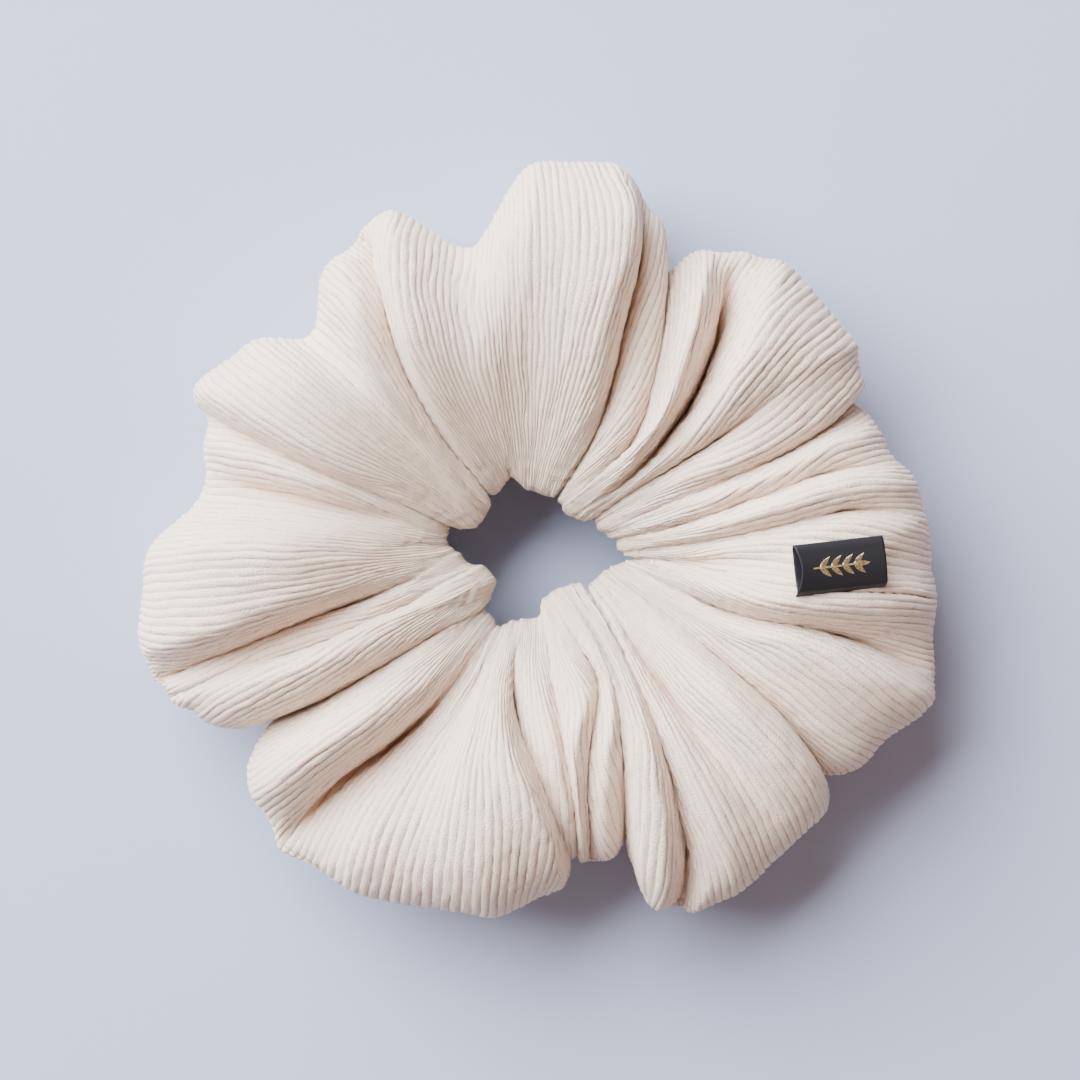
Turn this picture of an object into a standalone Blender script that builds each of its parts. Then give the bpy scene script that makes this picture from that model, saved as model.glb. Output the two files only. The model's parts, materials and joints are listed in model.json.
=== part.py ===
"""A gathered scrunchie, lying flat: a strip of rib velvet sewn into a tube and closed into a ring,
with a loop of flat elastic inside and a folded ribbon label caught in the closing seam.

Frame: +Z up, origin at the middle of the outer box, on the surface that the scrunchie lies on.
The driving dimensions are in millimetres and degrees; MM turns them into Blender's metres.
"""

from math import cos, degrees, pi, radians, sin

import bmesh
import bpy
from mathutils import Vector

MM = 0.001

# The cover: angle round the ring in degrees, and the radius of its outer edge there, lobe by lobe.
OUTER_EDGE = [
    (0, 79), (11, 75.5), (20, 71), (25, 67.5), (31, 75.5), (42, 77), (52, 73.5), (60, 67), (65, 53),
    (71, 69.5), (79, 76.5), (87, 76), (95, 70), (102, 60), (108, 67), (115, 72), (125, 69.5),
    (131, 66), (138, 61.5), (146, 68), (154, 74), (162, 72), (171, 68), (177, 77), (188, 80.5),
    (196, 81), (206, 76), (213, 61.5), (221, 75), (232, 81), (244, 79), (258, 77.5), (270, 76.5),
    (278, 66), (284, 63.5), (288, 74), (294, 80.5), (304, 80.5), (314, 78), (319, 71), (330, 81),
    (338, 85), (347, 82),
]
HOLE_SEMI_AXES = (17.0, 12.5)   # of the oval hole that the elastic pulls the cover in to
HOLE_CENTRE_Y = -1.0
LOBE_HEIGHT = 40.0              # of the cover over its widest lobe
NOTCH_HEIGHT = 34.0             # and between two lobes
WALL = 1.4                      # velvet and its backing
SQUARENESS = 2.3                # exponent of the section: 2 is an ellipse, more is boxier
FLATTENED = 1.2                 # how far the underside is pressed flat where it rests
STATIONS = 64                   # sections round the ring
SECTION_STEPS = 20              # points over the outside of a section, and over its inside

# The seams
LENGTHWISE_GAP = 1.0            # between the strip's two long edges, along the outer equator
ALLOWANCE = 6.5                 # how far those edges are turned inwards
SEAM_TURN = 8.0                 # degrees of the section, each side of the seam, where the edges turn in
SEAM_TURN_INSIDE = 14.0         # and the same on the inside of the cloth
FOLD_DEPTH = 0.8                # of the rounding where an edge turns in, at the outer equator
HEM_DEPTH = 2.8                 # of the corner behind it, inside the cloth
CLOSING_ANGLE = -9.0            # where the two ends of the tube meet
CLOSING_GAP = 1.2
CLOSING_THREAD_POINTS = 45
THREAD_RADIUS = 0.25
CLEARANCE = 0.3                 # between pieces that touch on the real object
SEAM_FROM_EDGE = 4.5            # the stitch line, measured inwards from the cover's outer edge

# The elastic
ELASTIC_RADIUS = 23.5
ELASTIC_WIDTH = 8.0
ELASTIC_THICKNESS = 1.2
ELASTIC_HEIGHT = 19.0           # of its middle above the ground
ELASTIC_OVERLAP = 12.0          # of its two ends, which are sewn together opposite the closing seam
ELASTIC_JOIN_ANGLE = 180.0
ELASTIC_STEPS = 72              # sections along the elastic
NEEDLE_HOLE_RADIUS = 0.6
NEEDLE_HOLE_HEIGHTS = [-2.7, -0.9, 0.9, 2.7]   # from the middle of the elastic

# The label
LABEL_WIDTH = 18.0
LABEL_HEIGHT = 9.4
LABEL_THICKNESS = 0.3
LABEL_LOOP_GAP = 0.9            # between the ribbon's two layers, at its fold
LABEL_BASE = (49.6, -10.8, 41.4)   # the end of its sewn edge that is nearer the hole
LABEL_YAW = 6.4                 # of the sewn edge, from +X
LABEL_DROP = 10.0               # how steeply the sewn edge falls towards the outside
SPRIG_LENGTH = 11.5
SPRIG_LEAVES = 4                # on each side of the stem
LEAF_LENGTH = 2.9
LEAF_WIDTH = 1.0
LEAF_ANGLE = 42.0
STEM_WIDTH = 0.45
FOIL_THICKNESS = 0.15


def clear_scene():
    for obj in list(bpy.data.objects):
        bpy.data.objects.remove(obj)


def material(name, colour, roughness, metallic=0.0):
    made = bpy.data.materials.new(name)
    made.use_nodes = True
    shader = made.node_tree.nodes["Principled BSDF"]
    shader.inputs["Base Color"].default_value = (*colour, 1)
    shader.inputs["Roughness"].default_value = roughness
    shader.inputs["Metallic"].default_value = metallic
    return made


def linked(name, data, finish, parent=None):
    """A new object in the scene. Its mesh or curve is in world coordinates, and parent is an empty."""
    obj = bpy.data.objects.new(name, data)
    bpy.context.scene.collection.objects.link(obj)
    obj.data.materials.append(finish)
    if parent:
        obj.parent = parent
        obj.matrix_parent_inverse = parent.matrix_world.inverted()
    return obj


def empty_at(name, place):
    empty = bpy.data.objects.new(name, None)
    empty.location = place
    bpy.context.scene.collection.objects.link(empty)
    bpy.context.view_layer.update()
    return empty


def outer_radius(angle):
    """The cover's outer radius at an angle in degrees: a smooth closed curve through OUTER_EDGE."""
    count = len(OUTER_EDGE)
    angle %= 360
    i = max(k for k in range(count) if OUTER_EDGE[k][0] <= angle)

    def point(k):
        turns, k = divmod(k, count)
        return OUTER_EDGE[k][0] + 360 * turns, OUTER_EDGE[k][1]

    def slope(k):
        (a0, r0), (a1, r1) = point(k - 1), point(k + 1)
        return (r1 - r0) / (a1 - a0)

    (a0, r0), (a1, r1) = point(i), point(i + 1)
    step = a1 - a0
    s = (angle - a0) / step
    start = (1 + 2 * s) * (1 - s) ** 2 * r0 + s * (1 - s) ** 2 * step * slope(i)
    end = s * s * (3 - 2 * s) * r1 + s * s * (s - 1) * step * slope(i + 1)
    return start + end


def hole_radius(angle):
    """The distance from the Z axis to the oval hole's edge, at an angle in degrees."""
    a, b = HOLE_SEMI_AXES
    c, s = cos(radians(angle)), sin(radians(angle))
    k = (c / a) ** 2 + (s / b) ** 2
    m = s * HOLE_CENTRE_Y / b**2
    return (m + (m * m - k * ((HOLE_CENTRE_Y / b) ** 2 - 1)) ** 0.5) / k


def section_height(angle):
    narrow, wide = (f(r for _, r in OUTER_EDGE) for f in (min, max))
    share = (outer_radius(angle) - narrow) / (wide - narrow)
    return NOTCH_HEIGHT + (LOBE_HEIGHT - NOTCH_HEIGHT) * min(1, max(0, share)) ** 0.7


def station_angle(i, count):
    return CLOSING_ANGLE + 360 * i / count


def edge_points():
    """The outer edge, station by station, as x and y."""
    for i in range(STATIONS):
        angle = station_angle(i, STATIONS)
        yield outer_radius(angle) * cos(radians(angle)), outer_radius(angle) * sin(radians(angle))


def middle(values):
    return (min(values) + max(values)) / 2


BOX_MIDDLE = Vector((middle([x for x, _ in edge_points()]), middle([y for _, y in edge_points()]), 0))


def place(x, y, z):
    """A point of the ring in the world: metres, with the origin in the middle of the outer box."""
    return (Vector((x, y, z)) - BOX_MIDDLE) * MM


def ring_point(angle, radius, height, aside=0.0):
    """A point at an angle in degrees round the ring, shifted aside along the ring."""
    c, s = cos(radians(angle)), sin(radians(angle))
    return place(radius * c - aside * s, radius * s + aside * c, height)


def arc(angle, inset, turn):
    """A point of the cover's section (radius, height), at a turn in degrees round it from its outer
    edge over its top, on the curve that lies inset millimetres inside the outside of the cloth."""
    outer, inner, height = outer_radius(angle), hole_radius(angle), section_height(angle)
    a, b = (outer - inner) / 2 - inset, (height + FLATTENED) / 2 - inset
    c, s = cos(radians(turn)), sin(radians(turn))
    across = abs(c) ** (2 / SQUARENESS) * (1 if c > 0 else -1)
    up = abs(s) ** (2 / SQUARENESS) * (1 if s > 0 else -1)
    return (outer + inner) / 2 + a * across, max(inset, (height - FLATTENED) / 2 + b * up)


def seam_height(angle):
    return (section_height(angle) - FLATTENED) / 2


def turns_between(margin, count):
    """Turns round a section, evenly spaced, from margin degrees past the outer edge all the way round
    to margin degrees before it."""
    return [margin + (360 - 2 * margin) * k / (count - 1) for k in range(count)]


def cover_section(angle):
    """The cloth's section, one closed loop: over the outside, then back along the inside, with the
    two long edges turned inwards beside each other at the outer edge."""
    level, half_gap = seam_height(angle), LENGTHWISE_GAP / 2
    edge = outer_radius(angle)
    outside = [arc(angle, 0, turn) for turn in turns_between(SEAM_TURN, SECTION_STEPS)]
    inside = [arc(angle, WALL, turn) for turn in turns_between(SEAM_TURN_INSIDE, SECTION_STEPS)]
    tip, fold, hem = edge - ALLOWANCE, edge - FOLD_DEPTH, edge - HEM_DEPTH
    upper = [(hem, level + half_gap + WALL), (tip, level + half_gap + WALL), (tip, level + half_gap)]
    lower = [(r, 2 * level - z) for r, z in reversed(upper)]
    return (
        [(fold, level + half_gap)] + outside + [(fold, level - half_gap)]
        + lower + list(reversed(inside)) + upper
    )


def add_cover():
    """A ring of sections, open by CLOSING_GAP where the ends of the tube meet."""
    mesh = bmesh.new()
    stations = [(station_angle(i, STATIONS), 0.0) for i in range(1, STATIONS)]
    stations.insert(0, (CLOSING_ANGLE, CLOSING_GAP / 2))
    stations.append((CLOSING_ANGLE, -CLOSING_GAP / 2))
    loops = [
        [mesh.verts.new(ring_point(angle, r, z, aside)) for r, z in cover_section(angle)]
        for angle, aside in stations
    ]
    for this, following in zip(loops, loops[1:]):
        for k in range(len(this)):
            mesh.faces.new((this[k - 1], this[k], following[k], following[k - 1]))
    mesh.faces.new(loops[0])
    mesh.faces.new(reversed(loops[-1]))
    bmesh.ops.recalc_face_normals(mesh, faces=mesh.faces)
    data = bpy.data.meshes.new("fabric_cover")
    mesh.to_mesh(data)
    mesh.free()
    data.shade_smooth()
    data.set_sharp_from_angle(angle=radians(40))
    return linked("fabric_cover", data, material("rib_velvet", (0.86, 0.76, 0.68), 0.9))


def add_thread(name, points, parent=None, colour=(0.88, 0.8, 0.72)):
    """A thread of THREAD_RADIUS through world points."""
    curve = bpy.data.curves.new(name, "CURVE")
    curve.dimensions = "3D"
    curve.bevel_depth = THREAD_RADIUS * MM
    curve.bevel_resolution = 1
    curve.use_fill_caps = True
    spline = curve.splines.new("POLY")
    spline.points.add(len(points) - 1)
    for point, at in zip(spline.points, points):
        point.co = (*at, 1)
    return linked(name, curve, material(name, colour, 0.6), parent)


def add_lengthwise_thread(name, side):
    """One thread of the lockstitch along the strip's edges: side is 1 above them and -1 below."""
    lift = LENGTHWISE_GAP / 2 + WALL + CLEARANCE + THREAD_RADIUS
    points = []
    for i in range(1, STATIONS):
        angle = station_angle(i, STATIONS)
        points.append(
            ring_point(angle, outer_radius(angle) - SEAM_FROM_EDGE, seam_height(angle) + side * lift)
        )
    return add_thread(name, points)


def add_closing_thread(parent):
    """The thread that joins the ends of the tube, halfway through the cloth, in the closing gap."""
    points = [
        ring_point(CLOSING_ANGLE, *arc(CLOSING_ANGLE, WALL / 2, turn))
        for turn in turns_between(SEAM_TURN_INSIDE, CLOSING_THREAD_POINTS)
    ]
    return add_thread("closing_seam_thread", points, parent)


def elastic_path():
    """(angle, radius) along the elastic: once round, and then outside its own first end."""
    lap = degrees(ELASTIC_OVERLAP / ELASTIC_RADIUS)
    step_out = ELASTIC_THICKNESS + CLEARANCE
    first = ELASTIC_JOIN_ANGLE - lap / 2
    path = []
    for i in range(ELASTIC_STEPS + 1):
        turn = (360 + lap) * i / ELASTIC_STEPS
        climb = min(1, max(0, (turn - (360 - lap)) / (0.8 * lap)))
        path.append((first + turn, ELASTIC_RADIUS + step_out * climb * climb * (3 - 2 * climb)))
    return path


def add_elastic():
    """A flat band whose two ends overlap, with a row of needle holes through both."""
    half, thick = ELASTIC_WIDTH / 2, ELASTIC_THICKNESS / 2
    corners = [(-thick, -half), (thick, -half), (thick, half), (-thick, half)]
    mesh = bmesh.new()
    loops = [
        [mesh.verts.new(ring_point(angle, radius + out, ELASTIC_HEIGHT + up)) for out, up in corners]
        for angle, radius in elastic_path()
    ]
    for this, following in zip(loops, loops[1:]):
        for k in range(4):
            mesh.faces.new((this[k - 1], this[k], following[k], following[k - 1]))
    mesh.faces.new(loops[0])
    mesh.faces.new(reversed(loops[-1]))
    bmesh.ops.recalc_face_normals(mesh, faces=mesh.faces)
    data = bpy.data.meshes.new("elastic_band")
    mesh.to_mesh(data)
    mesh.free()
    band = linked("elastic_band", data, material("braided_elastic", (0.9, 0.88, 0.84), 0.8))
    for height in NEEDLE_HOLE_HEIGHTS:
        bpy.ops.mesh.primitive_cylinder_add(
            vertices=12,
            radius=NEEDLE_HOLE_RADIUS * MM,
            depth=8 * MM,
            location=ring_point(ELASTIC_JOIN_ANGLE, ELASTIC_RADIUS, ELASTIC_HEIGHT + height),
            rotation=(0, pi / 2, radians(ELASTIC_JOIN_ANGLE)),
        )
        cutter = bpy.context.object
        cutter.name = "needle_hole_cutter"
        cutter.hide_render = True
        cutter.display_type = "WIRE"
        cut = band.modifiers.new("needle hole", "BOOLEAN")
        cut.object = cutter
        cut.solver = "EXACT"
    return band


def add_elastic_thread():
    """A running stitch that goes in and out through the needle holes."""
    reach = THREAD_RADIUS + CLEARANCE + ELASTIC_THICKNESS / 2
    inside, outside = ELASTIC_RADIUS - reach, ELASTIC_RADIUS + ELASTIC_THICKNESS + CLEARANCE + reach
    points = []
    for k, height in enumerate(NEEDLE_HOLE_HEIGHTS):
        ends = (inside, outside) if k % 2 == 0 else (outside, inside)
        points += [ring_point(ELASTIC_JOIN_ANGLE, r, ELASTIC_HEIGHT + height) for r in ends]
    return add_thread("elastic_join_thread", points)


def label_axes():
    """The label's sewn edge, the way its ribbon lies from there, and its outward side."""
    yaw, drop = radians(LABEL_YAW), radians(LABEL_DROP)
    along = Vector((cos(drop) * cos(yaw), cos(drop) * sin(yaw), -sin(drop)))
    up_ribbon = Vector((-sin(yaw), cos(yaw), 0))
    return along, up_ribbon, along.cross(up_ribbon)


def label_point(along, up, out):
    """A point of the label: millimetres along its sewn edge, up the ribbon and out of its face."""
    a, u, o = label_axes()
    return place(*LABEL_BASE) + (a * along + u * up + o * out) * MM


def add_prism(name, outline, low, high, finish, parent, to_world):
    """A flat outline given a thickness, from low to high along the third coordinate of to_world."""
    mesh = bmesh.new()
    bottom = [mesh.verts.new(to_world(x, y, low)) for x, y in outline]
    top = [mesh.verts.new(to_world(x, y, high)) for x, y in outline]
    for k in range(len(outline)):
        mesh.faces.new((bottom[k - 1], bottom[k], top[k], top[k - 1]))
    mesh.faces.new(top)
    mesh.faces.new(reversed(bottom))
    bmesh.ops.recalc_face_normals(mesh, faces=mesh.faces)
    data = bpy.data.meshes.new(name)
    mesh.to_mesh(data)
    mesh.free()
    return linked(name, data, finish, parent)


def add_label(parent):
    """The ribbon folded over itself: two layers that spread from the sewn edge to a round fold."""
    radius = LABEL_LOOP_GAP / 2 + LABEL_THICKNESS
    turn_at = LABEL_HEIGHT - radius
    fold = [radians(90 - 22.5 * k) for k in range(9)]
    outside = [(turn_at + radius * cos(t), radius * sin(t)) for t in fold]
    inner = radius - LABEL_THICKNESS
    inside = [(turn_at + inner * cos(t), inner * sin(t)) for t in fold]
    pinch = CLEARANCE / 2
    outline = (
        [(0, pinch + LABEL_THICKNESS)] + outside + [(0, -pinch - LABEL_THICKNESS), (0, -pinch)]
        + list(reversed(inside)) + [(0, pinch)]
    )
    satin = material("satin_ribbon", (0.012, 0.012, 0.014), 0.35)
    return add_prism(
        "label_ribbon", outline, 0, LABEL_WIDTH, satin, parent,
        lambda up, out, along: label_point(along, up, out),
    )


def leaf(root, direction):
    """The outline of one leaf from its root: out along one side to the tip, and back."""
    c, s = cos(direction), sin(direction)
    points = []
    for share, side in [(0.3, -0.4), (0.6, -0.5), (1, 0), (0.6, 0.5), (0.3, 0.4)]:
        x, y = share * LEAF_LENGTH, side * LEAF_WIDTH
        points.append((root[0] + x * c - y * s, root[1] + x * s + y * c))
    return points


def sprig_outline():
    """A stem with leaves on both sides and one at its tip, as one closed outline."""
    half = STEM_WIDTH / 2
    pitch = SPRIG_LENGTH / (SPRIG_LEAVES + 1)
    lower, upper = [(0, -half)], []
    for k in range(SPRIG_LEAVES):
        x = pitch * (k + 0.6)
        below = leaf((x + half, -half), radians(-LEAF_ANGLE))
        above = leaf((x + half, half), radians(LEAF_ANGLE))
        lower += [(x, -half)] + below + [(x + STEM_WIDTH, -half)]
        upper += [(x, half)] + list(reversed(above)) + [(x + STEM_WIDTH, half)]
    tip = leaf((SPRIG_LENGTH - LEAF_LENGTH * 0.8, 0), 0)
    return lower + tip + list(reversed(upper)) + [(0, half)]


def add_foil(parent):
    """The gold sprig on the label's face, along the middle of the ribbon."""
    face = LABEL_LOOP_GAP / 2 + LABEL_THICKNESS + CLEARANCE
    start = (LABEL_WIDTH - SPRIG_LENGTH) / 2
    gold = material("gold_foil", (0.8, 0.62, 0.3), 0.3, 1.0)
    return add_prism(
        "label_foil_print", sprig_outline(), face, face + FOIL_THICKNESS, gold, parent,
        lambda along, up, out: label_point(start + along, LABEL_HEIGHT / 2 + up, out),
    )


def main():
    clear_scene()
    add_cover()
    add_elastic()
    add_elastic_thread()
    add_lengthwise_thread("lengthwise_seam_needle_thread", 1)
    add_lengthwise_thread("lengthwise_seam_bobbin_thread", -1)
    pulled_side = empty_at("pulled_side", ring_point(CLOSING_ANGLE, ELASTIC_RADIUS, ELASTIC_HEIGHT))
    add_closing_thread(pulled_side)
    hinge = empty_at("label_hinge", label_point(LABEL_WIDTH / 2, 0, 0))
    add_label(hinge)
    add_foil(hinge)


main()
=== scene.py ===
"""The looks of the scrunchie: gathered rib velvet round an elastic, with a folded satin label.

The cover is laid out as the crests and creases of its folds, each a line over the top of the
ring, and the underside mirrors the top. A short cloth simulation then lets that cloth settle: it puffs
out a little and eases, held to the shape that was laid, above the ground and under the label. The
ribs, the seams and the turned-in edges are built on the settled cloth. Lengths are millimetres until
MM turns them into metres.
"""

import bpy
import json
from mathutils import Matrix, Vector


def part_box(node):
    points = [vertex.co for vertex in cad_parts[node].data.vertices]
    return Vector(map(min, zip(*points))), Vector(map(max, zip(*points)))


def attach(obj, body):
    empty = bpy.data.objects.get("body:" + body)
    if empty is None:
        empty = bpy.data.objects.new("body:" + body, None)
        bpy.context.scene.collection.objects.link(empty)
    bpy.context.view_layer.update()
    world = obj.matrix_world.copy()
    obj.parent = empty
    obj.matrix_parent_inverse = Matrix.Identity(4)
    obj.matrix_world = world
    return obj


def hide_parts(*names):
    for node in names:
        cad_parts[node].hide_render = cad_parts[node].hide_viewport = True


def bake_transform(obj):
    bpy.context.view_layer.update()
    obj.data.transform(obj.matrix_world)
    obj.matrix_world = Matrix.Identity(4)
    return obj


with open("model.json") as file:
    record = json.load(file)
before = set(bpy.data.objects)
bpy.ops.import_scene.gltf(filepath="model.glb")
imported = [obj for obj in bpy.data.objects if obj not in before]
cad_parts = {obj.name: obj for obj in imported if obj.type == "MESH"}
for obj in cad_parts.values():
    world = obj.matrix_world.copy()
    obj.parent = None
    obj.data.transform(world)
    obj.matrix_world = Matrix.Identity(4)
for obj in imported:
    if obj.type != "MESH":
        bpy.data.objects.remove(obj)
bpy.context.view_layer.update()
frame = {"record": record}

import json
from math import cos, pi, radians, sin

import bpy
import numpy as np
from mathutils import Vector

MM = 0.001

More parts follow.
